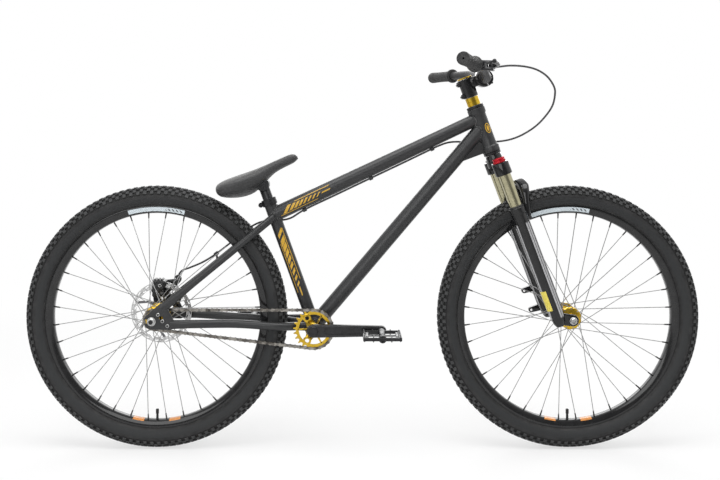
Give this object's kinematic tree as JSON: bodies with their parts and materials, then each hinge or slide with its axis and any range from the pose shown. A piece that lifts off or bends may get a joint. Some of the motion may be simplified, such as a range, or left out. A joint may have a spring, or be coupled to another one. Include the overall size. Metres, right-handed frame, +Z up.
{
  "type": "dirt jump bicycle",
  "caption": "Dirt jump bicycle with a low sloping frame, a short-travel suspension fork, wide riser bar, knobbly tyres, a single-speed chain drive and a rear cable disc brake.",
  "frame": {"origin": "on the ground, midway between the wheel axles, in the wheels' plane", "axes": "+X forward, +Y to the rider's left, +Z up; the chain side faces -Y"},
  "size_m": [1.7352, 0.7074, 0.9893],
  "materials": {
    "frame_paint": "matt charcoal paint",
    "black_alloy": "black anodised",
    "fork_paint": "gloss black",
    "stanchion": "champagne hard coat",
    "gold_alloy": "gold anodised",
    "red_alloy": "red anodised",
    "steel": "brushed",
    "dark_steel": "oiled",
    "tyre": "matt",
    "rubber": "matt",
    "rim": "satin black",
    "plastic": "matt",
    "cable": "smooth black sleeve"
  },
  "bodies": {
    "frame": {"head_tube": "frame_paint", "top_tube": "frame_paint", "down_tube": "frame_paint", "head_gusset": "frame_paint", "seat_tube": "frame_paint", "seat_clamp": "black_alloy", "bottom_bracket_shell": "frame_paint", "bottom_bracket_cup_right": "black_alloy", "bottom_bracket_cup_left": "black_alloy", "chainstay_right": "frame_paint", "chainstay_left": "frame_paint", "seatstay_right": "frame_paint", "seatstay_left": "frame_paint", "dropout_right": "frame_paint", "dropout_left": "frame_paint", "headset_lower_cup": "black_alloy", "headset_upper_cup": "black_alloy", "rear_axle": "steel", "chain": "dark_steel", "brake_cable": "cable", "caliper_bracket": "black_alloy", "caliper_body": "black_alloy"},
    "steering": {"fork_crown": "fork_paint", "steerer": "black_alloy", "stanchion_right": "stanchion", "stanchion_left": "stanchion", "adjuster_knob": "red_alloy", "fork_cap_left": "black_alloy", "headset_spacer": "gold_alloy", "stem": "black_alloy", "stem_faceplate": "black_alloy", "steerer_cap": "gold_alloy", "handlebar": "black_alloy", "grip_right": "rubber", "grip_left": "rubber", "lever_clamp": "black_alloy"},
    "lowers": {"fork_lowers": "fork_paint", "front_axle": "steel"},
    "front_wheel": {"front_tyre": "tyre", "front_rim": "rim", "front_hub": "gold_alloy"},
    "rear_wheel": {"rear_tyre": "tyre", "rear_rim": "rim", "rear_hub": "gold_alloy", "brake_disc": "steel"},
    "rear_sprocket": {"rear_cog": "gold_alloy"},
    "cranks": {"crank_spindle": "steel", "crank_arm_right": "black_alloy", "crank_arm_left": "black_alloy", "chainring": "gold_alloy", "pedal_axle_right": "steel", "pedal_axle_left": "steel"},
    "pedal_right": {"pedal_cage_right": "black_alloy"},
    "pedal_left": {"pedal_cage_left": "black_alloy"},
    "seat": {"seatpost": "black_alloy", "saddle_clamp": "black_alloy", "saddle": "plastic"},
    "lever": {"brake_lever": "black_alloy"},
    "brake_arm": {"caliper_arm": "black_alloy"}
  },
  "joints": [
    {"name": "steering_turn", "type": "hinge", "parent": "frame", "child": "steering", "pos_m": [0.31329, 0, 0.81659], "axis": [-0.3502, 0, 0.9367], "range_deg": [-75, 75], "deforming": ["brake_cable"]},
    {"name": "fork_travel", "type": "slide", "parent": "steering", "child": "lowers", "axis": [-0.3502, 0, 0.9367], "range_m": [0, 0.08], "stiffness_N_per_m": 8000, "springref_m": -0.012},
    {"name": "front_wheel_spin", "type": "hinge", "parent": "lowers", "child": "front_wheel", "pos_m": [0.529, 0, 0.33675], "axis": [0, 1, 0], "continuous": true},
    {"name": "rear_wheel_spin", "type": "hinge", "parent": "frame", "child": "rear_wheel", "pos_m": [-0.529, 0, 0.33675], "axis": [0, 1, 0], "continuous": true},
    {"name": "crank_spin", "type": "hinge", "parent": "frame", "child": "cranks", "pos_m": [-0.12407, 0, 0.31215], "axis": [0, 1, 0], "continuous": true, "deforming": ["chain"]},
    {"name": "cog_spin", "type": "hinge", "parent": "frame", "child": "rear_sprocket", "pos_m": [-0.529, 0, 0.33675], "axis": [0, 1, 0], "continuous": true, "deforming": ["chain"]},
    {"name": "pedal_right_spin", "type": "hinge", "parent": "cranks", "child": "pedal_right", "pos_m": [0.04593, -0.1215, 0.31215], "axis": [0, 1, 0], "continuous": true},
    {"name": "pedal_left_spin", "type": "hinge", "parent": "cranks", "child": "pedal_left", "pos_m": [-0.29407, 0.1215, 0.31215], "axis": [0, 1, 0], "continuous": true},
    {"name": "seatpost_height", "type": "slide", "parent": "frame", "child": "seat", "axis": [-0.342, 0, 0.9397], "range_m": [0, 0.06]},
    {"name": "lever_pull", "type": "hinge", "parent": "steering", "child": "lever", "pos_m": [0.30141, -0.2117, 0.96673], "axis": [0.061, 0.005, 0.9981], "range_deg": [-14, 0], "stiffness_Nm_per_rad": 2, "springref_deg": 5.73, "deforming": ["brake_cable"]},
    {"name": "brake_arm_swing", "type": "hinge", "parent": "frame", "child": "brake_arm", "pos_m": [-0.533, 0.078, 0.40575], "axis": [0, 1, 0], "range_deg": [-5, 0], "deforming": ["brake_cable"]}
  ],
  "couplings": [
    {"joint": "cog_spin", "follows": "crank_spin", "ratio": 2},
    {"joint": "brake_arm_swing", "follows": "lever_pull", "ratio": 0.32}
  ]
}
